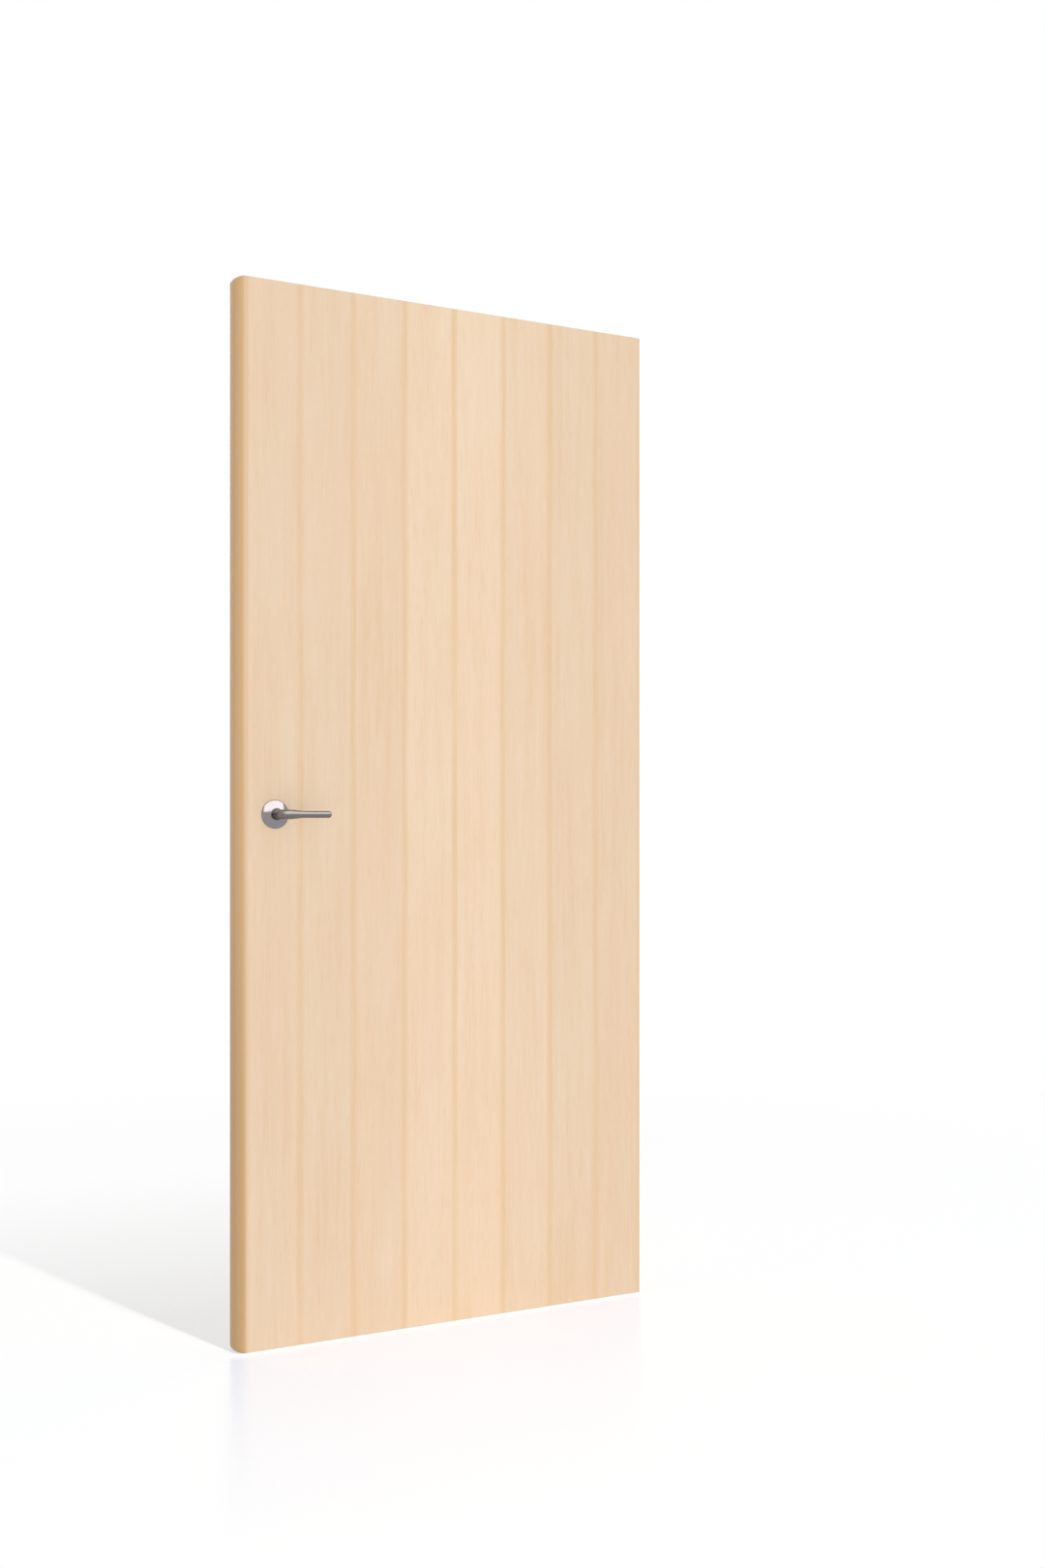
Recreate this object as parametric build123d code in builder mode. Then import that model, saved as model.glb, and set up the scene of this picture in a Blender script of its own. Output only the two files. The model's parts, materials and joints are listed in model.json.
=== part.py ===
from build123d import *
import math
import os

# Interior flush door: a veneered leaf with a rounded lock edge, hung on three butt hinges,
# with a sprung lever handle on both faces. Millimetres. +X points to the hinge side, the
# front face looks towards -Y, +Z is up. The plane X = 0 is the back of the hinge leaves
# that screw to the door frame, Y = 0 is the middle of the leaf's thickness, and Z = 0 is
# the middle of the middle hinge.

# Door leaf
LEAF_WIDTH = 914.4
LEAF_HEIGHT = 2032.0
LEAF_THICKNESS = 44.45
SKIN_THICKNESS = 3.0
STILE_WIDTH = 35.0
TOP_RAIL_HEIGHT = 45.0
BOTTOM_RAIL_HEIGHT = 70.0

# Rounded solid-wood nosing along the lock edge
NOSING_WIDTH = 20.0
NOSING_ROUND = 18.0
NOSING_CORNER_RADIUS = 13.0
NOSING_CORNER_PLANS = 10
NOSING_LEAST_FLAT = 1.0

# Veneer strips on each face, parted by fine V joints
STRIP_COUNT = 8
JOINT_WIDTH = 1.0

# Butt hinges
HINGE_HEIGHT = 101.6
HINGE_PLATE = 3.0
HINGE_CORNER_RADIUS = 6.0
HINGE_EDGE_DISTANCE = 14.0
HINGE_FROM_TOP = 127.0
HINGE_FROM_BOTTOM = 244.0
MORTISE_CLEARANCE = 0.2
KNUCKLE_COUNT = 5
KNUCKLE_GAP = 0.4
NOTCH_CLEARANCE = 0.8
PIN_RADIUS = 2.5
PIN_CLEARANCE = 0.05
PIN_PROUD = 8.0
PIN_HEAD_RADIUS = 4.6
PIN_HEAD_HEIGHT = 3.2
PIN_TIP_LENGTH = 1.5
PIN_TIP_CHAMFER = 0.8
PIN_HEAD_CHAMFER = 1.2

# Countersunk screw holes, staggered in two columns on each hinge leaf
SCREW_HOLE_RADIUS = 2.8
SCREW_SINK_RADIUS = 4.6
SCREW_SINK_ANGLE = 82.0
OUTER_SCREW_PITCH = 76.0
INNER_SCREW_PITCH = 30.0
OUTER_SCREW_Y = 13.0
INNER_SCREW_Y = 1.0

# Lever handles
LEVER_BACKSET = 79.0
LEVER_HEIGHT = 1016.0
LEVER_LENGTH = 98.0
LEVER_STANDOFF = 42.0
LEVER_SEAT_GAP = 0.5
NECK_RADIUS = 9.0
BEND_RADIUS = 13.0
BAR_RADIUS = 6.5
BAR_TAPER_LENGTH = 30.0
BAR_TIP_ROUND = 5.0
ROSE_RADIUS = 27.5
ROSE_HEIGHT = 10.0
ROSE_RIM_HEIGHT = 3.0
ROSE_COLLAR_WIDTH = 3.0
NECK_CLEARANCE = 0.3
SPINDLE_SIDE = 8.0
SPINDLE_CLEARANCE = 0.05
SOCKET_DEPTH = 20.0
SPINDLE_END_GAP = 0.5
SPINDLE_BORE_RADIUS = 11.0

# Places that follow from those sizes
core_thickness = LEAF_THICKNESS - 2 * SKIN_THICKNESS
half_leaf = LEAF_THICKNESS / 2
bore_radius = PIN_RADIUS + PIN_CLEARANCE
knuckle_radius = bore_radius + HINGE_PLATE
pin_x = -knuckle_radius
pin_y = half_leaf + PIN_PROUD
hinge_edge_x = pin_x - bore_radius
lock_edge_x = hinge_edge_x - LEAF_WIDTH
seam_x = lock_edge_x + NOSING_WIDTH
widest_round = NOSING_WIDTH - NOSING_LEAST_FLAT
nose_round = min(NOSING_ROUND, widest_round, half_leaf - NOSING_LEAST_FLAT)
nose_corner = min(NOSING_CORNER_RADIUS, widest_round)
lock_stile_end_x = seam_x + STILE_WIDTH
hinge_stile_start_x = hinge_edge_x - STILE_WIDTH
plate_end_y = -half_leaf + HINGE_EDGE_DISTANCE
notch_y = pin_y - knuckle_radius - NOTCH_CLEARANCE

top_hinge_height = LEAF_HEIGHT - HINGE_FROM_TOP - HINGE_HEIGHT / 2
bottom_hinge_height = HINGE_FROM_BOTTOM + HINGE_HEIGHT / 2
middle_hinge_height = (top_hinge_height + bottom_hinge_height) / 2
leaf_bottom_z = -middle_hinge_height
hinge_levels = {
    "top": top_hinge_height + leaf_bottom_z,
    "middle": 0.0,
    "bottom": bottom_hinge_height + leaf_bottom_z,
}

lever_x = lock_edge_x + LEVER_BACKSET
lever_z = leaf_bottom_z + LEVER_HEIGHT
bar_y = half_leaf + LEVER_STANDOFF
neck_start_y = half_leaf + LEVER_SEAT_GAP

FRONT = -1
BACK = 1
leaf_base = Plane.XY.offset(leaf_bottom_z)
lever_axis_plane = Plane((lever_x, 0, lever_z), x_dir=(1, 0, 0), z_dir=(0, -1, 0))


def save(piece, node):
    piece.part.label = node
    export_step(piece.part, f"parts/{node}.step")


def upright_slab(start_x, end_x, low, high):
    """One core-thick member of the leaf, from low to high above the leaf's bottom edge."""
    with BuildPart() as slab:
        with BuildSketch(leaf_base.offset(low)):
            with Locations(((start_x + end_x) / 2, 0)):
                Rectangle(end_x - start_x, core_thickness)
        extrude(amount=high - low)
    return slab


def nosing_plan(height, reach):
    """Plan of the nosing at one height: square along the seam, rounded where it reaches out."""
    half_flat = half_leaf - nose_round
    squeezed_round = nose_round * reach / NOSING_WIDTH
    tip_x = seam_x - reach
    round_x = tip_x + squeezed_round
    with BuildSketch(Plane.XY.offset(height)) as plan:
        with BuildLine():
            Polyline((round_x, half_leaf), (seam_x, half_leaf), (seam_x, -half_leaf), (round_x, -half_leaf))
            EllipticalCenterArc((round_x, -half_flat), squeezed_round, nose_round, start_angle=180, arc_size=90)
            Line((tip_x, -half_flat), (tip_x, half_flat))
            EllipticalCenterArc((round_x, half_flat), squeezed_round, nose_round, start_angle=90, arc_size=90)
        make_face()
    return plan.sketch


def face_skin(side):
    """Veneered sheet over one face, with a V joint between neighbouring strips."""
    width = hinge_edge_x - seam_x
    joint_spacing = width / STRIP_COUNT
    with BuildPart() as skin:
        with BuildSketch(leaf_base):
            with Locations(((seam_x + hinge_edge_x) / 2, side * (half_leaf - SKIN_THICKNESS / 2))):
                Rectangle(width, SKIN_THICKNESS)
            for joint in range(1, STRIP_COUNT):
                with Locations((seam_x + joint * joint_spacing, side * half_leaf)):
                    Rectangle(JOINT_WIDTH / math.sqrt(2), JOINT_WIDTH / math.sqrt(2),
                              rotation=45, mode=Mode.SUBTRACT)
        extrude(amount=LEAF_HEIGHT)
        add(spindle_bore.part, mode=Mode.SUBTRACT)
        if side == BACK:
            add(hinge_mortises.part, mode=Mode.SUBTRACT)
    return skin


def hinge_leaf(level, back_x, inward, knuckles):
    """Flat hinge plate whose own knuckles roll round the pin, with sunk holes on its inner face."""
    knuckle_length = (HINGE_HEIGHT - (KNUCKLE_COUNT - 1) * KNUCKLE_GAP) / KNUCKLE_COUNT
    inner_x = back_x + inward * HINGE_PLATE
    with BuildPart() as leaf:
        with BuildSketch(Plane((back_x, 0, level), x_dir=(0, 1, 0), z_dir=(inward, 0, 0))) as plate:
            with Locations(((plate_end_y + notch_y) / 2, 0)):
                Rectangle(notch_y - plate_end_y, HINGE_HEIGHT)
            fillet(plate.vertices().sort_by(Axis.X)[:2], HINGE_CORNER_RADIUS)
        extrude(amount=HINGE_PLATE)
        for knuckle in knuckles:
            foot = level - HINGE_HEIGHT / 2 + knuckle * (knuckle_length + KNUCKLE_GAP)
            with BuildSketch(Plane.XY.offset(foot)):
                with Locations(((back_x + inner_x) / 2, pin_y - knuckle_radius)):
                    Rectangle(HINGE_PLATE, 2 * knuckle_radius)
                with Locations((pin_x, pin_y)):
                    Circle(knuckle_radius)
                    Circle(bore_radius, mode=Mode.SUBTRACT)
            extrude(amount=knuckle_length)
        with Locations(Plane((inner_x, 0, level), x_dir=(0, 1, 0), z_dir=(inward, 0, 0))):
            for column_y, pitch in ((OUTER_SCREW_Y, OUTER_SCREW_PITCH), (INNER_SCREW_Y, INNER_SCREW_PITCH)):
                with Locations((column_y, -pitch / 2), (column_y, pitch / 2)):
                    CounterSinkHole(SCREW_HOLE_RADIUS, SCREW_SINK_RADIUS, depth=HINGE_PLATE,
                                    counter_sink_angle=SCREW_SINK_ANGLE)
    return leaf


def hinge_pin(level):
    """Loose pin with a button head that sits on the top knuckle."""
    with BuildPart() as pin:
        with BuildSketch(Plane((pin_x, pin_y, level - HINGE_HEIGHT / 2 - PIN_TIP_LENGTH))):
            Circle(PIN_RADIUS)
        extrude(amount=PIN_TIP_LENGTH + HINGE_HEIGHT)
        chamfer(pin.edges().sort_by(Axis.Z)[:1], PIN_TIP_CHAMFER)
        with BuildSketch(Plane((pin_x, pin_y, level + HINGE_HEIGHT / 2))):
            Circle(PIN_HEAD_RADIUS)
        extrude(amount=PIN_HEAD_HEIGHT)
        chamfer(pin.edges().sort_by(Axis.Z)[-1:], PIN_HEAD_CHAMFER)
    return pin


def rose(side):
    """Domed round rose with a raised collar that the lever's neck turns in."""
    neck_bore = NECK_RADIUS + NECK_CLEARANCE
    collar = neck_bore + ROSE_COLLAR_WIDTH
    rise = ROSE_HEIGHT - ROSE_RIM_HEIGHT
    dome_drop = (ROSE_RADIUS**2 - collar**2 - rise**2) / (2 * rise)
    dome_radius = math.hypot(ROSE_RADIUS, dome_drop)
    with BuildPart() as disc:
        with BuildSketch(Plane((lever_x, side * half_leaf, lever_z), x_dir=(1, 0, 0), z_dir=(0, 0, side))):
            with BuildLine():
                Polyline((collar, ROSE_HEIGHT), (neck_bore, ROSE_HEIGHT), (neck_bore, 0),
                         (ROSE_RADIUS, 0), (ROSE_RADIUS, ROSE_RIM_HEIGHT))
                RadiusArc((ROSE_RADIUS, ROSE_RIM_HEIGHT), (collar, ROSE_HEIGHT), -dome_radius)
            make_face()
        revolve(axis=Axis((lever_x, 0, lever_z), (0, 1, 0)))
    return disc


def lever(side):
    """Round neck that bends into a slim tapering bar, socketed for the square spindle."""
    bar_length = LEVER_LENGTH - BEND_RADIUS
    socket_side = SPINDLE_SIDE + 2 * SPINDLE_CLEARANCE
    with BuildPart() as handle:
        with BuildLine(Plane.XY.offset(lever_z)) as neck_path:
            straight = Line((lever_x, side * neck_start_y), (lever_x, side * (bar_y - BEND_RADIUS)))
            bend = JernArc(straight @ 1, straight % 1, BEND_RADIUS, -90 * side)
        with BuildSketch(Plane(straight @ 0, z_dir=(0, side, 0))):
            Circle(NECK_RADIUS)
        sweep(path=neck_path.line)
        with BuildSketch(Plane(bend @ 1, x_dir=(1, 0, 0), z_dir=(0, 0, 1))):
            with BuildLine():
                Polyline((0, 0), (0, NECK_RADIUS), (BAR_TAPER_LENGTH, BAR_RADIUS),
                         (bar_length - BAR_TIP_ROUND, BAR_RADIUS))
                RadiusArc((bar_length - BAR_TIP_ROUND, BAR_RADIUS),
                          (bar_length, BAR_RADIUS - BAR_TIP_ROUND), BAR_TIP_ROUND)
                Polyline((bar_length, BAR_RADIUS - BAR_TIP_ROUND), (bar_length, 0), (0, 0))
            make_face()
        revolve(axis=Axis(bend @ 1, (1, 0, 0)))
        with BuildSketch(Plane(straight @ 0, x_dir=(1, 0, 0), z_dir=(0, side, 0))):
            Rectangle(socket_side, socket_side)
        extrude(amount=SOCKET_DEPTH, mode=Mode.SUBTRACT)
    return handle


os.makedirs("parts", exist_ok=True)

# Cutters shared by the pieces that they pass through
with BuildPart() as spindle_bore:
    with BuildSketch(lever_axis_plane):
        Circle(SPINDLE_BORE_RADIUS)
    extrude(amount=LEAF_THICKNESS, both=True)

with BuildPart() as hinge_mortises:
    mortise_end_y = plate_end_y - MORTISE_CLEARANCE
    mortise_height = HINGE_HEIGHT + 2 * MORTISE_CLEARANCE
    for level in hinge_levels.values():
        with BuildSketch(Plane((hinge_edge_x, 0, level), x_dir=(0, 1, 0), z_dir=(1, 0, 0))) as pocket:
            with Locations(((mortise_end_y + pin_y) / 2, 0)):
                Rectangle(pin_y - mortise_end_y, mortise_height)
            fillet(pocket.vertices().sort_by(Axis.X)[:2], HINGE_CORNER_RADIUS)
        extrude(amount=-HINGE_PLATE)

# Leaf: nosing, stiles, rails and core between two veneered skins
with BuildPart() as lock_nosing:
    extrude(nosing_plan(leaf_bottom_z + nose_corner, NOSING_WIDTH), amount=LEAF_HEIGHT - 2 * nose_corner)
    for end_z, inward in ((leaf_bottom_z, 1), (leaf_bottom_z + LEAF_HEIGHT, -1)):
        corner_plans = []
        for step in range(NOSING_CORNER_PLANS):
            turn = math.radians(90 * step / (NOSING_CORNER_PLANS - 1))
            height = end_z + inward * nose_corner * (1 - math.sin(turn))
            corner_plans.append(nosing_plan(height, NOSING_WIDTH - nose_corner * (1 - math.cos(turn))))
        loft(corner_plans)
save(lock_nosing, "lock_nosing")

save(upright_slab(seam_x, lock_stile_end_x, 0, LEAF_HEIGHT), "lock_stile")

with BuildPart() as hinge_stile:
    add(upright_slab(hinge_stile_start_x, hinge_edge_x, 0, LEAF_HEIGHT).part)
    add(hinge_mortises.part, mode=Mode.SUBTRACT)
save(hinge_stile, "hinge_stile")

rail_span = (lock_stile_end_x, hinge_stile_start_x)
save(upright_slab(*rail_span, LEAF_HEIGHT - TOP_RAIL_HEIGHT, LEAF_HEIGHT), "top_rail")
save(upright_slab(*rail_span, 0, BOTTOM_RAIL_HEIGHT), "bottom_rail")

with BuildPart() as core:
    add(upright_slab(*rail_span, BOTTOM_RAIL_HEIGHT, LEAF_HEIGHT - TOP_RAIL_HEIGHT).part)
    add(spindle_bore.part, mode=Mode.SUBTRACT)
save(core, "core")

save(face_skin(FRONT), "front_skin")
save(face_skin(BACK), "back_skin")

# Handles: a rose and a lever on each face, on one spindle
for side, face in ((FRONT, "front"), (BACK, "back")):
    save(rose(side), f"{face}_rose")
    save(lever(side), f"{face}_lever")

with BuildPart() as spindle:
    with BuildSketch(lever_axis_plane):
        Rectangle(SPINDLE_SIDE, SPINDLE_SIDE)
    extrude(amount=neck_start_y + SOCKET_DEPTH - SPINDLE_END_GAP, both=True)
save(spindle, "spindle")

# Hinges: odd knuckles on the frame's leaf, even ones on the door's leaf
for place, level in hinge_levels.items():
    frame_knuckles = range(0, KNUCKLE_COUNT, 2)
    door_knuckles = range(1, KNUCKLE_COUNT, 2)
    save(hinge_leaf(level, 0, -1, frame_knuckles), f"{place}_hinge_frame_leaf")
    save(hinge_leaf(level, 2 * pin_x, 1, door_knuckles), f"{place}_hinge_door_leaf")
    save(hinge_pin(level), f"{place}_hinge_pin")
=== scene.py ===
import json
import math

import bmesh
import bpy
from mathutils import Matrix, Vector

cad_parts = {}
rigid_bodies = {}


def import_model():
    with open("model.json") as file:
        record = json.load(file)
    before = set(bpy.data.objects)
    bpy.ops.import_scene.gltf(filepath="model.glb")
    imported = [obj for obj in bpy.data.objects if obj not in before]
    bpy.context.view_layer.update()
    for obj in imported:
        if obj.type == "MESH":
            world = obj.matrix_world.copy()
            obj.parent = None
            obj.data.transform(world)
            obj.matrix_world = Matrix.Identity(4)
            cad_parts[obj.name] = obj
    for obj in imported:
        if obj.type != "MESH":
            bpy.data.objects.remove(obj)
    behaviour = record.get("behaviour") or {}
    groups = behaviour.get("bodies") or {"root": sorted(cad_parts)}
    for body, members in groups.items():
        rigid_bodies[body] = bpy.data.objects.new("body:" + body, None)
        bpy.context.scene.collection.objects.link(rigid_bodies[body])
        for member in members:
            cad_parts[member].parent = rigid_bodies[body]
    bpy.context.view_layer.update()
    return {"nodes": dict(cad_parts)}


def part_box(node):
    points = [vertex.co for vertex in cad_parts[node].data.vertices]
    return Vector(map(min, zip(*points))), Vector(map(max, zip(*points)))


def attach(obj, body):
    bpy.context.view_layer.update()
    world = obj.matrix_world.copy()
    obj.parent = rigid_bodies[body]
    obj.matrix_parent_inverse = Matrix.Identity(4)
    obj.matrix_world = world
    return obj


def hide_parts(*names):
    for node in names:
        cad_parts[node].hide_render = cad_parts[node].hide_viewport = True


# Looks of an interior flush door: pale veneer in vertical strips, a rounded wooden lock edge,
# a satin lever handle on each face and three steel butt hinges. Metres, in the part's frame:
# +X to the hinge side, the front face towards -Y, +Z up.

for leftover in list(bpy.data.objects):
    bpy.data.objects.remove(leftover)
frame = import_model()
MM = 0.001
TO_HINGES = Vector((1, 0, 0))
UP = Vector((0, 0, 1))
WHITE = (1.0, 1.0, 1.0, 1.0)

# Camera that took the photograph, whose picture is 1620 pixels high
PHOTO_HEIGHT = 1620
HORIZON_PIXEL = 848.5
CAMERA_PLACE = (-2.2085, -3.2762, -0.0715)
CAMERA_YAW = 30.43
LENS = 42.22
SENSOR = 36.0

# Floor, and the faint sheen on it in front of the leaf
FLOOR_REACH = 60.0
FLOOR_GAP = 0.5 * MM
FLOOR_ALBEDO = 0.86
FLOOR_WHITE = (0.593, 0.604, 0.614)
FLOOR_SHADE = (0.393, 0.385, 0.377, 1.0)
FLOOR_NEAR, FLOOR_FAR = 2.2, 4.0
SHEEN = (0.36, 0.24, 0.125)
SHEEN_ROUGHNESS = 0.22
SHEEN_FOOT = 40.0 * MM
SHEEN_REACH = 0.93

# Lights: azimuth in degrees from the front towards +X, elevation in degrees above level
AMBIENT = 0.50
KEY_AZIMUTH, KEY_ELEVATION = 8.2, 66.5
KEY_SPREAD = 35.0
KEY_DISTANCE = 40.0
KEY_WIDTH = 0.7
KEY_LEVEL = 0.62
FRONT_AZIMUTH, FRONT_ELEVATION = 14.0, 30.0
FRONT_ANGLE = 50.0
FRONT_LEVEL = 1.06
BACK_AZIMUTH, BACK_ELEVATION = 166.0, 34.0
BACK_ANGLE = 60.0
BACK_LEVEL = 0.95
SUN_DISTANCE = 10.0

# Light cards that show only in the gloss of the handles, and narrow ones for the hinges
HANDLE_CARD_AZIMUTHS = (8.0, 172.0)
HANDLE_CARD_ELEVATION = 47.0
HANDLE_CARD_DISTANCE = 6.0
HANDLE_CARD_WIDTH, HANDLE_CARD_HEIGHT = 14.0, 7.5
HANDLE_CARD_LEVEL = 2.6
HANDLE_CARD_COLOUR = (1.0, 0.96, 0.92)
HINGE_CARD_AZIMUTHS = (62.0, 118.0)
HINGE_CARD_ELEVATION = 12.0
HINGE_CARD_DISTANCE = 5.0
HINGE_CARD_WIDTH, HINGE_CARD_HEIGHT = 0.9, 6.0
HINGE_CARD_LEVEL = 1.6

# Nosing, as in the solid that it stands for
NOSING_ROUND = 18.0 * MM
NOSING_CORNER = 13.0 * MM
NOSING_STEPS = 18
QUARTER_TURN = [math.radians(90 * step / NOSING_STEPS) for step in range(NOSING_STEPS + 1)]

# Handle, as in the solids that it stands for; trims are degrees of the dome's arc
NECK_RADIUS = 9.0 * MM
BEND_RADIUS = 13.0 * MM
BAR_RADIUS = 6.5 * MM
BAR_TAPER_LENGTH = 30.0 * MM
BAR_TIP_ROUND = 5.0 * MM
ROSE_RIM_HEIGHT = 3.0 * MM
ROSE_COLLAR_WIDTH = 3.0 * MM
NECK_CLEARANCE = 0.3 * MM
RIM_ROUND = 0.8 * MM
RIM_TRIM, COLLAR_TRIM = 1.5, 0.3
RIM_STEPS, DOME_STEPS, LIP_STEPS = 5, 20, 4
NECK_STEPS, BEND_STEPS, TAPER_STEPS, TIP_STEPS = 6, 24, 16, 12
ROUND_SEGMENTS = 72
SHARP_ANGLE = 38.0

# Wood screws in the door's hinge leaves; shares are of the recess, the head or the shank
SCREW_HEAD_RADIUS = 4.3 * MM
SCREW_HEAD_ANGLE = 82.0
SCREW_HEAD_EDGE = 0.25 * MM
SCREW_SHOULDER_DEPTH = 0.08 * MM
SCREW_SHOULDER_SHARE, SCREW_FLAT_SHARE = 0.98, 0.93
SCREW_SHANK_RADIUS = 2.2 * MM
SCREW_LENGTH = 22.0 * MM
SCREW_TIP_LENGTH = 5.0 * MM
SCREW_TIP_SHARE = 0.1
SCREW_SINK = 0.15 * MM
SCREW_FIRST_TURN, SCREW_NEXT_TURN = 0.4, 1.1
CROSS_REACH = 2.6 * MM
CROSS_HALF_WIDTH = 0.55 * MM
CROSS_DEPTH = 1.5 * MM
CROSS_WALL_DEPTH = 0.25 * MM
CROSS_FLOOR_SHARE, CROSS_WALL_SHARE, CROSS_MOUTH_SHARE = 0.45, 0.96, 1.04
OUTER_SCREWS = (13.0 * MM, 76.0 * MM)
INNER_SCREWS = (1.0 * MM, 30.0 * MM)

# Places read from the frame
STRIP_COUNT = 8
nodes = frame["nodes"]
skin_low, skin_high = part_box("front_skin")
nosing_low, nosing_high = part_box("lock_nosing")
rose_low, rose_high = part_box("front_rose")
lever_low, lever_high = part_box("front_lever")
leaf_bottom = skin_low.z
half_leaf = -skin_low.y
seam_x = skin_low.x
nosing_width = nosing_high.x - nosing_low.x
hinge_edge_x = skin_high.x
strip_width = (hinge_edge_x - seam_x) / STRIP_COUNT
lever_x = (rose_low.x + rose_high.x) / 2
lever_z = (rose_low.z + rose_high.z) / 2
rose_radius = (rose_high.x - rose_low.x) / 2
rose_height = -half_leaf - rose_low.y
lever_start = -lever_high.y
bar_y = -lever_low.y - NECK_RADIUS
lever_tip_x = lever_high.x
leaf_centre = Vector(((nosing_low.x + hinge_edge_x) / 2, 0, (skin_low.z + skin_high.z) / 2))


def linear(red, green, blue):
    """Display colour, 0 to 255, as the linear colour that renders like it."""
    shares = [value / 255 for value in (red, green, blue)]
    return tuple(s / 12.92 if s <= 0.04045 else ((s + 0.055) / 1.055) ** 2.4 for s in shares) + (1.0,)


class Graph:
    """Node tree of one material, with calls that add a node and give back its output."""

    def __init__(self, tree):
        self.tree = tree
        tree.nodes.clear()

    def add(self, kind, inputs=None, output=0, **settings):
        made = self.tree.nodes.new(kind)
        for name, value in settings.items():
            setattr(made, name, value)
        for socket, value in (inputs or {}).items():
            self.feed(made.inputs[socket], value)
        return made.outputs[output]

    def feed(self, socket, value):
        if isinstance(value, bpy.types.NodeSocket):
            self.tree.links.new(value, socket)
        else:
            socket.default_value = value

    def math(self, operation, *values):
        return self.add("ShaderNodeMath", dict(enumerate(values)), operation=operation)

    def fade(self, value, start, end):
        """Smooth step from 0 at start to 1 at end."""
        return self.add("ShaderNodeMapRange", {"Value": value, "From Min": start, "From Max": end},
                        interpolation_type="SMOOTHSTEP")

    def point(self, x, y, z):
        return self.add("ShaderNodeCombineXYZ", {0: x, 1: y, 2: z})

    def split(self, vector):
        made = self.tree.nodes.new("ShaderNodeSeparateXYZ")
        self.feed(made.inputs[0], vector)
        return tuple(made.outputs)

    def stretch(self, vector, scale):
        return self.add("ShaderNodeVectorMath", {0: vector, 1: scale}, operation="MULTIPLY")

    def noise(self, vector, detail=2.0, roughness=0.5, distortion=0.0):
        return self.add("ShaderNodeTexNoise", {"Vector": vector, "Scale": 1.0, "Detail": detail,
                                               "Roughness": roughness, "Distortion": distortion})

    def chance(self, value):
        return self.add("ShaderNodeTexWhiteNoise", {"W": value}, noise_dimensions="1D")

    def blend(self, share, first, second, mode="MIX"):
        return self.add("ShaderNodeMix", {0: share, 6: first, 7: second}, output=2,
                        data_type="RGBA", blend_type=mode)

    def ramp(self, value, stops):
        made = self.tree.nodes.new("ShaderNodeValToRGB")
        elements = made.color_ramp.elements
        while len(elements) < len(stops):
            elements.new(0.5)
        for element, (place, colour) in zip(elements, stops):
            element.position = place
            element.color = colour
        self.feed(made.inputs[0], value)
        return made.outputs[0]

    def bump(self, height, strength, distance):
        return self.add("ShaderNodeBump", {"Height": height, "Strength": strength,
                                           "Distance": distance})

    def surface(self, shader):
        out = self.tree.nodes.new("ShaderNodeOutputMaterial")
        self.feed(out.inputs["Surface"], shader)


def new_material(name):
    material = bpy.data.materials.new(name)
    material.use_nodes = True
    return material, Graph(material.node_tree)


# Wood colours
FACE_TAN = linear(233, 202, 166)
FACE_MID = linear(237, 210, 180)
FACE_PALE = linear(240, 216, 190)
FACE_ROSY = linear(239, 208, 178)
JOINT_TAN = linear(232, 196, 150)
PORE_TAN = linear(208, 166, 118)
# Painted light in the grooves, which cancels their shade
GROOVE_PAINTED_LIGHT = linear(252, 236, 214)
LAYER_BROWN = linear(196, 160, 118)
EDGE_TAN = linear(223, 184, 138)
EDGE_DARK = linear(215, 174, 126)
# Painted shade for the nosing's foot
FOOT_SHADE_TAN = linear(192, 150, 102)
FRAME_PALE = linear(232, 201, 160)
FRAME_DARK = linear(210, 172, 126)
END_DARK = linear(170, 128, 84)
BOARD_PALE = linear(206, 178, 140)
BOARD_DARK = linear(150, 116, 80)

# Lacquer on all wood that shows
LACQUER_SPECULAR = 0.35
LACQUER_COAT, LACQUER_COAT_ROUGHNESS = 0.12, 0.32
LACQUER_BUMP, LACQUER_BUMP_DEPTH = 0.25, 0.15 * MM

# Veneer's grain: noise scales across the strip, through it and along it, and each noise's weight
NOISE_MEAN = 0.5
CLOUD_SCALE, CLOUD_WEIGHT = (8.0, 1.0, 2.6), 0.6
BAND_SCALE, BAND_WEIGHT = (48.0, 1.0, 2.4), 0.7
FIGURE_SCALE, FIGURE_WEIGHT = (120.0, 1.0, 13.0), 0.5
FIGURE_DISTORTION = 0.4
STREAK_SCALE, STREAK_WEIGHT = (260.0, 1.0, 5.0), 0.5
STREAK_DETAIL, STREAK_ROUGHNESS = 3.0, 0.6
LUCK_WEIGHT = 0.15
FIBRE_SCALE = (1500.0, 1.0, 26.0)
TONE_MIDDLE = 0.5
TONE_STOPS = (0.12, 0.5, 0.88)
FACE_SEED = 31.0
STRIP_SHIFTS = (7.3, 4.1, 9.7)
ROSY_SCALE = (5.0, 1.0, 1.9)
ROSY_FROM, ROSY_FULL, ROSY_SHARE = 0.45, 0.75, 0.5
PORE_FROM, PORE_FULL, PORE_SHARE = 0.58, 0.74, 0.30
PALE_STRIP, PALE_REACH = 3.7, 2.6
PALE_GAIN = (1.07, 1.07, 1.07, 1.0)
VENEER_ROUGHNESS, VENEER_ROUGHNESS_SPREAD = 0.40, 0.12

# Veneer's joints, its seam with the nosing, the painted light in its grooves that cancels their shade,
# and the board's layers under it
JOINT_TINT_WIDTH = 11.0 * MM
JOINT_CORE = 0.5 * MM
WORN_SCALE = (40.0, 1.0, 5.0)
WORN_LEAST, WORN_SPREAD = 0.15, 0.8
SEAM_BLEND = 7.0 * MM
SEAM_SHARE = 0.35
GROOVE_FROM, GROOVE_FULL = 0.02 * MM, 0.15 * MM
GROOVE_LIGHT_SHARE = 0.6
VENEER_DEPTH = 0.9 * MM
LAYER_BLEND = 0.2 * MM
LAYER_SCALE = (900.0, 900.0, 900.0)
LAYER_SHARE = 0.4

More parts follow.
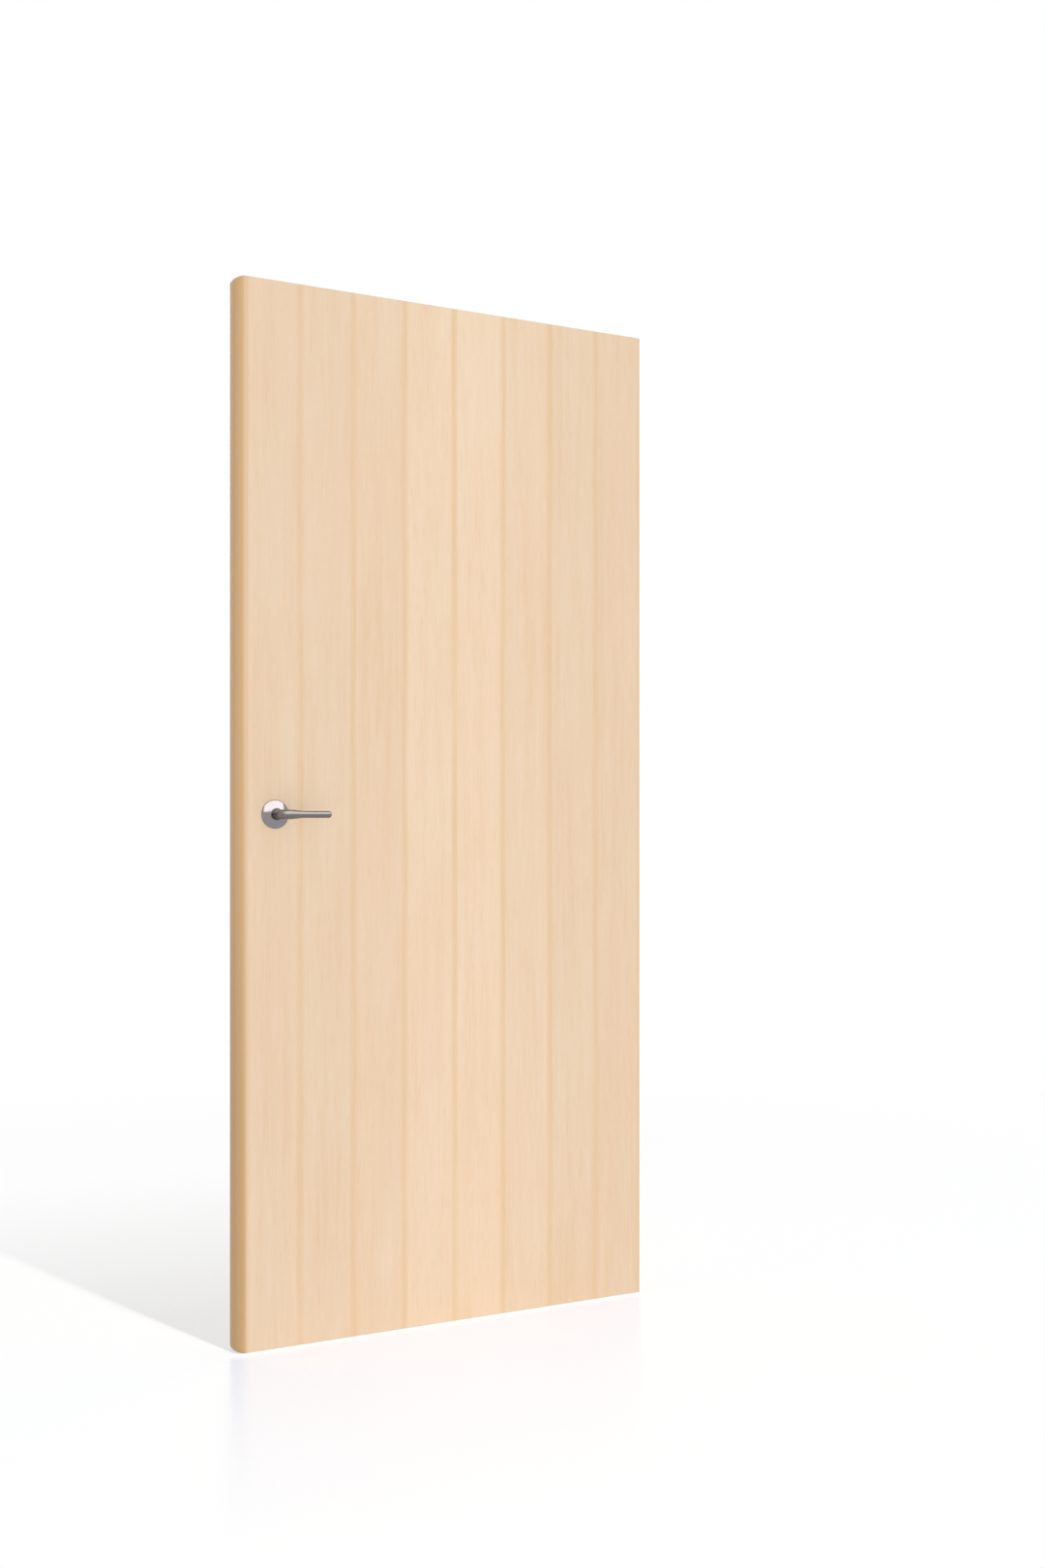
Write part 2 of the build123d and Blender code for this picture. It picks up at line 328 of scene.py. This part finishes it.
# Solid wood: noise scales across the fibres, and growth rings on its ends
ALONG_FIBRES = 0.004
WOOD_BAND_SCALE, WOOD_BAND_WEIGHT = 160.0, 0.6
WOOD_STREAK_SCALE, WOOD_STREAK_WEIGHT = 620.0, 0.4
WOOD_FIBRE_SCALE = 2400.0
WOOD_STOPS = (0.25, 0.75)
WOOD_ROUGHNESS, WOOD_ROUGHNESS_SPREAD = 0.42, 0.15
HEART_X, HEART_Y = -0.31, -0.11
RING_PHASE, RING_WANDER, RING_SHARE = 2600.0, 6.0, 0.45
END_FROM, END_FULL = 0.55, 0.85

# Painted shade at the nosing's foot: from this far above the leaf's middle to this far above its bottom
FOOT_START, FOOT_FULL = 0.35, 0.2
FOOT_SHADE_SHARE = 0.5

# Chip board
CHIP_SCALE = 420.0
CHIP_ROUGHNESS = 0.85
CHIP_BUMP, CHIP_BUMP_DEPTH = 0.5, 0.4 * MM

# Metal: an even grit on the turned pieces, and lines drawn along the hinges
EVEN_GRIT = (900.0, 900.0, 900.0)
DRAWN_LINES = (1900.0, 1900.0, 40.0)
GRIT_DETAIL, GRIT_ROUGHNESS = 3.0, 0.65
STAIN_SCALE = (45.0, 45.0, 45.0)
GRIT_WEIGHT, STAIN_WEIGHT = 0.6, 0.4
METAL_STOPS = (0.3, 0.7)
METAL_BUMP_DEPTH = 0.05 * MM


# Materials

def lacquered(graph, colour, roughness, height):
    """Wood under a thin satin lacquer."""
    return graph.add("ShaderNodeBsdfPrincipled", {
        "Base Color": colour, "Roughness": roughness, "Specular IOR Level": LACQUER_SPECULAR,
        "Coat Weight": LACQUER_COAT, "Coat Roughness": LACQUER_COAT_ROUGHNESS,
        "Normal": graph.bump(height, LACQUER_BUMP, LACQUER_BUMP_DEPTH)})


def own_place(graph, luck, x, z):
    """Place in the grain that is each strip's own, so that no two strips are alike."""
    shift_x, shift_y, shift_z = STRIP_SHIFTS
    return graph.point(graph.math("MULTIPLY_ADD", luck, shift_x, x),
                       graph.math("MULTIPLY", luck, shift_y),
                       graph.math("MULTIPLY_ADD", luck, shift_z, z))


def face_colour(graph, own, luck, strip, streak, fibre):
    """Pale wood with soft bands, rosy stretches and fine pores, palest in the leaf's middle."""
    cloud = graph.noise(graph.stretch(own, CLOUD_SCALE))
    band = graph.noise(graph.stretch(own, BAND_SCALE))
    figure = graph.noise(graph.stretch(own, FIGURE_SCALE), distortion=FIGURE_DISTORTION)
    tone = TONE_MIDDLE
    for part, weight in ((band, BAND_WEIGHT), (figure, FIGURE_WEIGHT), (streak, STREAK_WEIGHT),
                         (cloud, CLOUD_WEIGHT), (luck, LUCK_WEIGHT)):
        tone = graph.math("MULTIPLY_ADD", graph.math("SUBTRACT", part, NOISE_MEAN), weight, tone)
    colour = graph.ramp(tone, list(zip(TONE_STOPS, (FACE_TAN, FACE_MID, FACE_PALE))))
    rosy = graph.fade(graph.noise(graph.stretch(own, ROSY_SCALE), detail=1.0), ROSY_FROM, ROSY_FULL)
    colour = graph.blend(graph.math("MULTIPLY", rosy, ROSY_SHARE), colour, FACE_ROSY)
    off_middle = graph.math("ABSOLUTE", graph.math("SUBTRACT", strip, PALE_STRIP))
    colour = graph.blend(graph.fade(off_middle, PALE_REACH, 0.0), colour, PALE_GAIN, "MULTIPLY")
    pore = graph.math("MULTIPLY", graph.fade(fibre, PORE_FROM, PORE_FULL), PORE_SHARE)
    return graph.blend(pore, colour, PORE_TAN)


def joint_colour(graph, colour, own, across):
    """Tan line along each joint between strips, fainter in some places than in others."""
    from_joint = graph.math("MULTIPLY", graph.math("PINGPONG", across, 0.5), strip_width)
    worn = graph.noise(graph.stretch(own, WORN_SCALE), detail=1.0)
    tint = graph.math("MULTIPLY", graph.fade(from_joint, JOINT_TINT_WIDTH, JOINT_CORE),
                      graph.math("MULTIPLY_ADD", worn, WORN_SPREAD, WORN_LEAST))
    return graph.blend(tint, colour, JOINT_TAN)


def edge_colour(graph, colour, place, x, y):
    """Seam that blends into the nosing, painted light that makes the grooves paler to cancel their
    shade, and the board's layers under the veneer.
    """
    by_seam = graph.math("MULTIPLY", graph.fade(x, seam_x + SEAM_BLEND, seam_x), SEAM_SHARE)
    colour = graph.blend(by_seam, colour, EDGE_TAN)
    depth = graph.math("SUBTRACT", half_leaf, graph.math("ABSOLUTE", y))
    # Painted light: the grooves are made paler to cancel their shade
    groove_painted_light = graph.math("MULTIPLY", graph.fade(depth, GROOVE_FROM, GROOVE_FULL), GROOVE_LIGHT_SHARE)
    colour = graph.blend(groove_painted_light, colour, GROOVE_PAINTED_LIGHT)
    below = graph.fade(depth, VENEER_DEPTH, VENEER_DEPTH + LAYER_BLEND)
    layer = graph.noise(graph.stretch(place, LAYER_SCALE))
    substrate = graph.blend(graph.math("MULTIPLY", layer, LAYER_SHARE), LAYER_BROWN, BOARD_DARK)
    return graph.blend(below, colour, substrate)


def veneer():
    """Straight-grained pale veneer, each strip with its own grain, on both faces of the leaf."""
    material, graph = new_material("pale_veneer")
    place = graph.add("ShaderNodeTexCoord", output="Object")
    x, y, z = graph.split(place)
    across = graph.math("DIVIDE", graph.math("SUBTRACT", x, seam_x), strip_width)
    strip = graph.math("FLOOR", across)
    luck = graph.chance(graph.math("MULTIPLY_ADD", graph.math("SIGN", y), FACE_SEED, strip))
    own = own_place(graph, luck, x, z)
    streak = graph.noise(graph.stretch(own, STREAK_SCALE), STREAK_DETAIL, STREAK_ROUGHNESS)
    fibre = graph.noise(graph.stretch(own, FIBRE_SCALE))
    colour = face_colour(graph, own, luck, strip, streak, fibre)
    colour = joint_colour(graph, colour, own, across)
    colour = edge_colour(graph, colour, place, x, y)
    roughness = graph.math("MULTIPLY_ADD", streak, VENEER_ROUGHNESS_SPREAD, VENEER_ROUGHNESS)
    graph.surface(lacquered(graph, colour, roughness, graph.math("ADD", streak, fibre)))
    return material


def nosing_colour(graph, colour, x, z):
    """The nosing pales towards the veneered faces, and painted shade darkens it a little towards its
    foot.
    """
    by_seam = graph.math("MULTIPLY", graph.fade(x, seam_x - SEAM_BLEND, seam_x), 1.0 - SEAM_SHARE)
    colour = graph.blend(by_seam, colour, FACE_MID)
    # Painted shade, darker towards the nosing's foot
    low = graph.fade(z, leaf_centre.z + FOOT_START, leaf_bottom + FOOT_FULL)
    return graph.blend(graph.math("MULTIPLY", low, FOOT_SHADE_SHARE), colour, FOOT_SHADE_TAN)


def end_grain(graph, x, y, band, dark):
    """Growth rings about a heart that lies outside the leaf."""
    from_x = graph.math("SUBTRACT", x, HEART_X)
    from_y = graph.math("SUBTRACT", y, HEART_Y)
    around = graph.math("SQRT", graph.math("ADD", graph.math("MULTIPLY", from_x, from_x),
                                           graph.math("MULTIPLY", from_y, from_y)))
    wander = graph.math("MULTIPLY_ADD", band, RING_WANDER, graph.math("MULTIPLY", around, RING_PHASE))
    ring = graph.math("MULTIPLY_ADD", graph.math("SINE", wander), 0.5, 0.5)
    return graph.blend(graph.math("MULTIPLY", ring, RING_SHARE), dark, END_DARK)


def solid_wood(name, grain, pale, dark, nosing=False):
    """Straight-grained solid wood whose fibres run along one axis, with growth rings on its ends."""
    material, graph = new_material(name)
    place = graph.add("ShaderNodeTexCoord", output="Object")
    facing = graph.add("ShaderNodeTexCoord", output="Normal")
    x, y, z = graph.split(place)
    fibre_axis = "XYZ".index(grain)
    long_scale = Vector((1, 1, 1))
    long_scale[fibre_axis] = ALONG_FIBRES
    band = graph.noise(graph.stretch(place, tuple(WOOD_BAND_SCALE * long_scale)))
    streak = graph.noise(graph.stretch(place, tuple(WOOD_STREAK_SCALE * long_scale)),
                         STREAK_DETAIL, STREAK_ROUGHNESS)
    fibre = graph.noise(graph.stretch(place, tuple(WOOD_FIBRE_SCALE * long_scale)))
    tone = graph.math("MULTIPLY_ADD", band, WOOD_BAND_WEIGHT,
                      graph.math("MULTIPLY", streak, WOOD_STREAK_WEIGHT))
    colour = graph.ramp(tone, list(zip(WOOD_STOPS, (dark, pale))))
    if nosing:
        colour = nosing_colour(graph, colour, x, z)
    turned = graph.math("ABSOLUTE", graph.split(facing)[fibre_axis])
    colour = graph.blend(graph.fade(turned, END_FROM, END_FULL), colour,
                         end_grain(graph, x, y, band, dark))
    roughness = graph.math("MULTIPLY_ADD", streak, WOOD_ROUGHNESS_SPREAD, WOOD_ROUGHNESS)
    graph.surface(lacquered(graph, colour, roughness, graph.math("ADD", streak, fibre)))
    return material


def core_board():
    """Pressed chips, as in the bore for the spindle."""
    material, graph = new_material("chip_board")
    place = graph.add("ShaderNodeTexCoord", output="Object")
    chips = graph.add("ShaderNodeTexVoronoi", {"Vector": place, "Scale": CHIP_SCALE}, output="Color")
    share = graph.split(chips)[0]
    graph.surface(graph.add("ShaderNodeBsdfPrincipled", {
        "Base Color": graph.blend(share, BOARD_DARK, BOARD_PALE), "Roughness": CHIP_ROUGHNESS,
        "Normal": graph.bump(share, CHIP_BUMP, CHIP_BUMP_DEPTH)}))
    return material


def fine_metal(name, pale, dark, roughness, roughness_spread, scale, bump):
    """Metal with a fine grit, which a scale that differs by axis draws out into lines."""
    material, graph = new_material(name)
    place = graph.add("ShaderNodeTexCoord", output="Object")
    grit = graph.noise(graph.stretch(place, scale), GRIT_DETAIL, GRIT_ROUGHNESS)
    stain = graph.noise(graph.stretch(place, STAIN_SCALE))
    share = graph.math("MULTIPLY_ADD", grit, GRIT_WEIGHT, graph.math("MULTIPLY", stain, STAIN_WEIGHT))
    graph.surface(graph.add("ShaderNodeBsdfPrincipled", {
        "Base Color": graph.ramp(share, list(zip(METAL_STOPS, (dark, pale)))), "Metallic": 1.0,
        "Roughness": graph.math("MULTIPLY_ADD", grit, roughness_spread, roughness),
        "Normal": graph.bump(grit, bump, METAL_BUMP_DEPTH)}))
    return material


# Meshes made of rings of points

def add_piece(name, mesh, material, body):
    mesh.shade_smooth()
    mesh.set_sharp_from_angle(angle=math.radians(SHARP_ANGLE))
    mesh.materials.append(material)
    piece = bpy.data.objects.new(name, mesh)
    bpy.context.scene.collection.objects.link(piece)
    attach(piece, body)
    return piece


def ring_mesh(name, rings, material, body, capped=True):
    """Skin over rings that have the same number of points, closed at both ends where capped."""
    count = len(rings[0])
    points = [point for ring in rings for point in ring]
    faces = []
    for level in range(len(rings) - 1):
        for step in range(count):
            after = (step + 1) % count
            low, high = level * count, (level + 1) * count
            faces.append((low + step, low + after, high + after, high + step))
    if capped:
        faces.append(tuple(reversed(range(count))))
        faces.append(tuple(range(len(points) - count, len(points))))
    mesh = bpy.data.meshes.new(name)
    mesh.from_pydata(points, [], faces)
    shape = bmesh.new()
    shape.from_mesh(mesh)
    bmesh.ops.recalc_face_normals(shape, faces=shape.faces)
    shape.to_mesh(mesh)
    shape.free()
    return add_piece(name, mesh, material, body)


def circle(centre, first_axis, second_axis, radius):
    turns = [2 * math.pi * step / ROUND_SEGMENTS for step in range(ROUND_SEGMENTS)]
    return [centre + radius * (math.cos(t) * first_axis + math.sin(t) * second_axis) for t in turns]


def arc_points(centre, radius, start, end, steps):
    """Points of an arc in a profile's plane, angles in degrees."""
    angles = [math.radians(start + (end - start) * step / steps) for step in range(steps + 1)]
    return [(centre[0] + radius * math.cos(a), centre[1] + radius * math.sin(a)) for a in angles]


def smooth(share):
    return share * share * (3 - 2 * share)


# Nosing

def nosing_ring(height, reach):
    """Plan of the nosing at one height: square along the seam, rounded where it reaches out."""
    squeezed_round = NOSING_ROUND * reach / nosing_width
    round_x = seam_x - reach + squeezed_round
    half_flat = half_leaf - NOSING_ROUND
    front = [(round_x - squeezed_round * math.sin(t), -half_flat - NOSING_ROUND * math.cos(t))
             for t in QUARTER_TURN]
    back = [(x, -y) for x, y in reversed(front)]
    outline = [(seam_x, -half_leaf)] + front + back + [(seam_x, half_leaf)]
    return [Vector((x, y, height)) for x, y in outline]


def make_nosing(wood):
    """Rounded lock edge whose round follows the two corners."""
    ends = []
    for end_z, inward in ((nosing_low.z, 1), (nosing_high.z, -1)):
        ends.append([nosing_ring(end_z + inward * NOSING_CORNER * (1 - math.sin(t)),
                                 nosing_width - NOSING_CORNER * (1 - math.cos(t)))
                     for t in QUARTER_TURN])
    foot, head = ends
    piece = ring_mesh("lock_nosing_moulded", foot[::-1] + head, wood, "door")
    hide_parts("lock_nosing")


# Handles

def rose_profile():
    """(radius, height above the face) from the rim's foot over the dome to the neck's bore."""
    bore = NECK_RADIUS + NECK_CLEARANCE
    collar = bore + ROSE_COLLAR_WIDTH
    rise = rose_height - ROSE_RIM_HEIGHT
    drop = (rose_radius**2 - collar**2 - rise**2) / (2 * rise)
    dome = math.hypot(rose_radius, drop)
    rim_angle = math.degrees(math.atan2(drop, rose_radius))
    collar_angle = math.degrees(math.atan2(drop + rise, collar))
    rim = arc_points((rose_radius - RIM_ROUND, ROSE_RIM_HEIGHT - RIM_ROUND), RIM_ROUND,
                     0, rim_angle, RIM_STEPS)
    crown = arc_points((0.0, ROSE_RIM_HEIGHT - drop), dome,
                       rim_angle + RIM_TRIM, collar_angle - COLLAR_TRIM, DOME_STEPS)
    lip = arc_points((bore + RIM_ROUND / 2, rose_height - RIM_ROUND / 2), RIM_ROUND / 2,
                     90, 180, LIP_STEPS)
    flat = [(collar - RIM_ROUND, rose_height)]
    return [(rose_radius, 0.0)] + rim + crown + flat + lip + [(bore, 0.0)]


def make_rose(face, side, metal):
    axis = Vector((0, side, 0))
    base = Vector((lever_x, side * half_leaf, lever_z))
    rings = [circle(base + height * axis, TO_HINGES, UP, radius) for radius, height in rose_profile()]
    piece = ring_mesh(f"{face}_rose_turned", rings, metal, "door", capped=False)
    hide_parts(f"{face}_rose")
    return piece


def lever_stations(side):
    """(centre, direction, radius) along the neck, round the bend and out to the bar's tip."""
    out, along = Vector((0, side, 0)), TO_HINGES
    origin = Vector((lever_x, 0, lever_z))
    stations = []
    for step in range(NECK_STEPS + 1):
        reach = lever_start + (bar_y - BEND_RADIUS - lever_start) * step / NECK_STEPS
        stations.append((origin + reach * out, out, NECK_RADIUS))
    turn_centre = origin + (bar_y - BEND_RADIUS) * out + BEND_RADIUS * along
    for step in range(1, BEND_STEPS + 1):
        angle = math.radians(90 * step / BEND_STEPS)
        arm = math.sin(angle) * out - math.cos(angle) * along
        heading = math.cos(angle) * out + math.sin(angle) * along
        stations.append((turn_centre + BEND_RADIUS * arm, heading, NECK_RADIUS))
    bar_start = turn_centre + BEND_RADIUS * out
    bar_length = lever_tip_x - bar_start.x
    for step in range(1, TAPER_STEPS + 1):
        radius = NECK_RADIUS + (BAR_RADIUS - NECK_RADIUS) * smooth(step / TAPER_STEPS)
        stations.append((bar_start + BAR_TAPER_LENGTH * step / TAPER_STEPS * along, along, radius))
    for x, radius in arc_points((bar_length - BAR_TIP_ROUND, BAR_RADIUS - BAR_TIP_ROUND),
                                BAR_TIP_ROUND, 90, 0, TIP_STEPS):
        stations.append((bar_start + x * along, along, radius))
    return stations


def make_lever(face, side, metal):
    rings = [circle(centre, UP.cross(heading), UP, radius)
             for centre, heading, radius in lever_stations(side)]
    piece = ring_mesh(f"{face}_lever_bent", rings, metal, "handle")
    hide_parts(f"{face}_lever")
    return piece


# Screws in the door's hinge leaves

def cross_radius(angle):
    """Reach of a cross-shaped recess in one direction."""
    long_side, short_side = abs(math.cos(angle)), abs(math.sin(angle))
    if long_side < short_side:
        long_side, short_side = short_side, long_side
    return min(CROSS_REACH / long_side, CROSS_HALF_WIDTH / max(short_side, 1e-6))


def screw_rings(head_centre, turn):
    """Countersunk head with a cross recess, and its shank, along -X."""
    first = Vector((0, math.cos(turn), math.sin(turn)))
    second = Vector((0, -math.sin(turn), math.cos(turn)))
    turns = [2 * math.pi * step / ROUND_SEGMENTS for step in range(ROUND_SEGMENTS)]

    def point(depth, reach, t):
        return head_centre - depth * TO_HINGES + reach * (math.cos(t) * first + math.sin(t) * second)

    def cross_ring(depth, share):
        return [point(depth, share * cross_radius(t), t) for t in turns]

    def round_ring(depth, radius):
        return [point(depth, radius, t) for t in turns]

    cone = (SCREW_HEAD_RADIUS - SCREW_SHANK_RADIUS) / math.tan(math.radians(SCREW_HEAD_ANGLE / 2))
    return [
        cross_ring(CROSS_DEPTH, CROSS_FLOOR_SHARE),
        cross_ring(CROSS_WALL_DEPTH, CROSS_WALL_SHARE),
        cross_ring(0.0, CROSS_MOUTH_SHARE),
        round_ring(0.0, SCREW_FLAT_SHARE * SCREW_HEAD_RADIUS),
        round_ring(SCREW_SHOULDER_DEPTH, SCREW_SHOULDER_SHARE * SCREW_HEAD_RADIUS),
        round_ring(SCREW_HEAD_EDGE, SCREW_HEAD_RADIUS),
        round_ring(SCREW_HEAD_EDGE + cone, SCREW_SHANK_RADIUS),
        round_ring(SCREW_LENGTH - SCREW_TIP_LENGTH, SCREW_SHANK_RADIUS),
        round_ring(SCREW_LENGTH, SCREW_TIP_SHARE * SCREW_SHANK_RADIUS),
    ]


def make_screws(place, metal):
    """Two pairs of screws in one hinge, each turned its own way."""
    low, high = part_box(f"{place}_hinge_door_leaf")
    level = (low.z + high.z) / 2
    turn = SCREW_FIRST_TURN + low.z
    screws = []
    for column, (column_y, pitch) in (("outer", OUTER_SCREWS), ("inner", INNER_SCREWS)):
        for row, shift in (("lower", -pitch / 2), ("upper", pitch / 2)):
            turn += SCREW_NEXT_TURN
            head = Vector((hinge_edge_x - SCREW_SINK, column_y, level + shift))
            name = f"{place}_hinge_screw_{column}_{row}"
            screws.append(ring_mesh(name, screw_rings(head, turn), metal, "door"))
    return screws


def dress(material, *names):
    """Give these solids the material, and hand them back."""
    for name in names:
        for slot in nodes[name].material_slots:
            slot.link = "OBJECT"
            slot.material = material
    return [nodes[name] for name in names]


# Floor and background

def seen_directly(graph):
    """1 for what the camera sees, straight or in gloss and glass, and 0 for light that bounces."""
    path = graph.tree.nodes.new("ShaderNodeLightPath").outputs
    seen = graph.math("MAXIMUM", path["Is Camera Ray"], path["Is Glossy Ray"])
    return graph.math("MAXIMUM", seen, path["Is Transmission Ray"])


def sheen_colour(graph, x, y):
    """Share that the floor mirrors: most close in front of the leaf, none behind or past the hinges."""
    near = graph.add("ShaderNodeMapRange", {"Value": y, "From Min": -SHEEN_REACH,
                                            "From Max": -half_leaf})
    near = graph.math("MULTIPLY", near, graph.fade(y, -half_leaf, -half_leaf - SHEEN_FOOT))
    near = graph.math("MULTIPLY", near, graph.fade(x, hinge_edge_x, hinge_edge_x - SHEEN_FOOT))
    return graph.stretch(graph.point(near, near, near), SHEEN)


def floor_material():
    """White floor that keeps the leaf's shadow and a faint sheen, and is plain white further off."""
    material, graph = new_material("studio_floor")
    place = graph.add("ShaderNodeNewGeometry")
    x, y = graph.split(place)[:2]
    plain = graph.add("ShaderNodeBsdfDiffuse", {"Color": (FLOOR_ALBEDO,) * 3 + (1.0,)})
    shaded = graph.add("ShaderNodeBsdfDiffuse", {"Color": FLOOR_SHADE})
    sheen = sheen_colour(graph, x, y)
    rest = graph.add("ShaderNodeVectorMath", {0: FLOOR_WHITE, 1: sheen}, operation="SUBTRACT")
    gloss = graph.add("ShaderNodeBsdfGlossy", {"Color": sheen, "Roughness": SHEEN_ROUGHNESS})
    glow = graph.add("ShaderNodeEmission", {"Color": rest, "Strength": 1.0})
    white = graph.add("ShaderNodeEmission", {"Color": WHITE, "Strength": 1.0})
    glossy_glow = graph.add("ShaderNodeAddShader", {0: glow, 1: gloss})
    near_leaf = graph.add("ShaderNodeAddShader", {0: shaded, 1: glossy_glow})
    distance = graph.add("ShaderNodeVectorMath", {0: place, 1: tuple(leaf_centre)}, output="Value",
                         operation="DISTANCE")
    far = graph.fade(distance, FLOOR_NEAR, FLOOR_FAR)
    shown = graph.add("ShaderNodeMixShader", {0: far, 1: near_leaf, 2: white})
    graph.surface(graph.add("ShaderNodeMixShader", {0: seen_directly(graph), 1: plain, 2: shown}))
    return material


def make_floor():
    mesh = bpy.data.meshes.new("floor")
    reach, level = FLOOR_REACH, leaf_bottom - FLOOR_GAP
    corners = ((-reach, -reach), (reach, -reach), (reach, reach), (-reach, reach))
    mesh.from_pydata([(x, y, level) for x, y in corners], [], [(0, 1, 2, 3)])
    mesh.materials.append(floor_material())
    floor = bpy.data.objects.new("floor", mesh)
    bpy.context.scene.collection.objects.link(floor)
    return floor


def make_world():
    """White background that lights the object at the ambient level."""
    world = bpy.data.worlds.new("studio")
    bpy.context.scene.world = world
    world.use_nodes = True
    graph = Graph(world.node_tree)
    strength = graph.math("MULTIPLY_ADD", seen_directly(graph), 1.0 - AMBIENT, AMBIENT)
    shine = graph.add("ShaderNodeBackground", {"Color": WHITE, "Strength": strength})
    out = world.node_tree.nodes.new("ShaderNodeOutputWorld")
    graph.feed(out.inputs["Surface"], shine)


# Lights and camera

def place_light(name, lamp, azimuth, elevation, distance):
    """Light that faces the leaf's middle."""
    turn, tilt = math.radians(azimuth), math.radians(elevation)
    away = Vector((math.sin(turn) * math.cos(tilt), -math.cos(turn) * math.cos(tilt), math.sin(tilt)))
    light = bpy.data.objects.new(name, lamp)
    light.location = leaf_centre + distance * away
    light.rotation_mode = "QUATERNION"
    light.rotation_quaternion = (-away).to_track_quat("-Z", "Y")
    light.visible_camera = False
    bpy.context.scene.collection.objects.link(light)
    return light


def panel_light(name, azimuth, elevation, distance, width, height, power):
    lamp = bpy.data.lights.new(name, "AREA")
    lamp.shape = "RECTANGLE"
    lamp.size = width
    lamp.size_y = height
    lamp.energy = power
    return place_light(name, lamp, azimuth, elevation, distance)


def sun_light(name, azimuth, elevation, angle, level):
    lamp = bpy.data.lights.new(name, "SUN")
    lamp.angle = math.radians(angle)
    lamp.energy = level
    return place_light(name, lamp, azimuth, elevation, SUN_DISTANCE)


def linked_pieces(name, pieces, state):
    """Collection that a light takes alone (INCLUDE) or leaves out (EXCLUDE)."""
    linked = bpy.data.collections.new(name)
    for piece in pieces:
        linked.objects.link(piece)
    for entry in linked.collection_objects:
        entry.light_linking.link_state = state
    return linked


def link_light(light, pieces, state):
    """The light falls on these pieces alone (INCLUDE), or on all but these (EXCLUDE)."""
    receivers = linked_pieces(f"{light.name}_receivers", pieces, state)
    light.light_linking.receiver_collection = receivers


def drop_shadows(light, pieces):
    """These pieces cast no shadow in this light."""
    blockers = linked_pieces(f"{light.name}_blockers", pieces, "EXCLUDE")
    light.light_linking.blocker_collection = blockers


def gloss_card(name, azimuth, elevation, distance, width, height, level, pieces):
    """Panel that shows at its level in the gloss of these pieces, and lights nothing else."""
    card = panel_light(name, azimuth, elevation, distance, width, height,
                       level * math.pi * width * height)
    card.visible_diffuse = False
    link_light(card, pieces, "INCLUDE")
    return card


def make_lights(floor, handles, hinges):
    key_height = 2 * KEY_DISTANCE * math.tan(math.radians(KEY_SPREAD / 2))
    key = panel_light("key_strip", KEY_AZIMUTH, KEY_ELEVATION, KEY_DISTANCE, KEY_WIDTH, key_height,
                      KEY_LEVEL * math.pi**2 * KEY_DISTANCE**2)
    key.visible_glossy = False
    link_light(key, [floor], "INCLUDE")
    front = sun_light("front_light", FRONT_AZIMUTH, FRONT_ELEVATION, FRONT_ANGLE, FRONT_LEVEL)
    front.visible_glossy = False
    link_light(front, [floor], "EXCLUDE")
    drop_shadows(front, handles)
    back = sun_light("back_light", BACK_AZIMUTH, BACK_ELEVATION, BACK_ANGLE, BACK_LEVEL)
    link_light(back, [floor], "EXCLUDE")
    for azimuth in HANDLE_CARD_AZIMUTHS:
        card = gloss_card(f"gloss_card_{azimuth:.0f}", azimuth, HANDLE_CARD_ELEVATION,
                          HANDLE_CARD_DISTANCE, HANDLE_CARD_WIDTH, HANDLE_CARD_HEIGHT,
                          HANDLE_CARD_LEVEL, handles)
        card.data.color = HANDLE_CARD_COLOUR
    for azimuth in HINGE_CARD_AZIMUTHS:
        gloss_card(f"hinge_strip_{azimuth:.0f}", azimuth, HINGE_CARD_ELEVATION,
                   HINGE_CARD_DISTANCE, HINGE_CARD_WIDTH, HINGE_CARD_HEIGHT,
                   HINGE_CARD_LEVEL, hinges)


def make_camera():
    lens = bpy.data.cameras.new("camera")
    lens.sensor_fit = "VERTICAL"
    lens.sensor_height = SENSOR
    lens.sensor_width = SENSOR
    lens.lens = LENS
    lens.shift_y = (HORIZON_PIXEL - PHOTO_HEIGHT / 2) / PHOTO_HEIGHT
    camera = bpy.data.objects.new("camera", lens)
    camera.location = CAMERA_PLACE
    camera.rotation_euler = (math.radians(90), 0, math.radians(-CAMERA_YAW))
    bpy.context.scene.collection.objects.link(camera)
    bpy.context.scene.camera = camera


# Metals
rose_metal = fine_metal("polished_rose", linear(145, 141, 144), linear(135, 131, 134),
                        roughness=0.13, roughness_spread=0.06, scale=EVEN_GRIT, bump=0.03)
lever_metal = fine_metal("satin_lever", linear(124, 120, 121), linear(114, 110, 111),
                         roughness=0.30, roughness_spread=0.12, scale=EVEN_GRIT, bump=0.05)
hinge_metal = fine_metal("brushed_hinge", linear(182, 182, 184), linear(146, 146, 149),
                         roughness=0.22, roughness_spread=0.16, scale=DRAWN_LINES, bump=0.12)

# Dress the leaf
dress(veneer(), "front_skin", "back_skin")
make_nosing(solid_wood("edge_nosing", "Z", EDGE_TAN, EDGE_DARK, nosing=True))
dress(solid_wood("upright_wood", "Z", FRAME_PALE, FRAME_DARK), "lock_stile", "hinge_stile")
dress(solid_wood("rail_wood", "X", FRAME_PALE, FRAME_DARK), "top_rail", "bottom_rail")
dress(core_board(), "core")

# Dress the handles and the hinges
dress(hinge_metal, "spindle")
handle_pieces = []
for face, side in (("front", -1), ("back", 1)):
    handle_pieces.append(make_rose(face, side, rose_metal))
    handle_pieces.append(make_lever(face, side, lever_metal))
hinge_pieces = []
for place in ("top", "middle", "bottom"):
    hinge = f"{place}_hinge"
    hinge_pieces += dress(hinge_metal, f"{hinge}_frame_leaf", f"{hinge}_door_leaf", f"{hinge}_pin")
    hinge_pieces += make_screws(place, hinge_metal)

# Set up the studio
studio_floor = make_floor()
make_world()
make_lights(studio_floor, handle_pieces, hinge_pieces)
make_camera()
bpy.context.scene.view_settings.view_transform = "Standard"
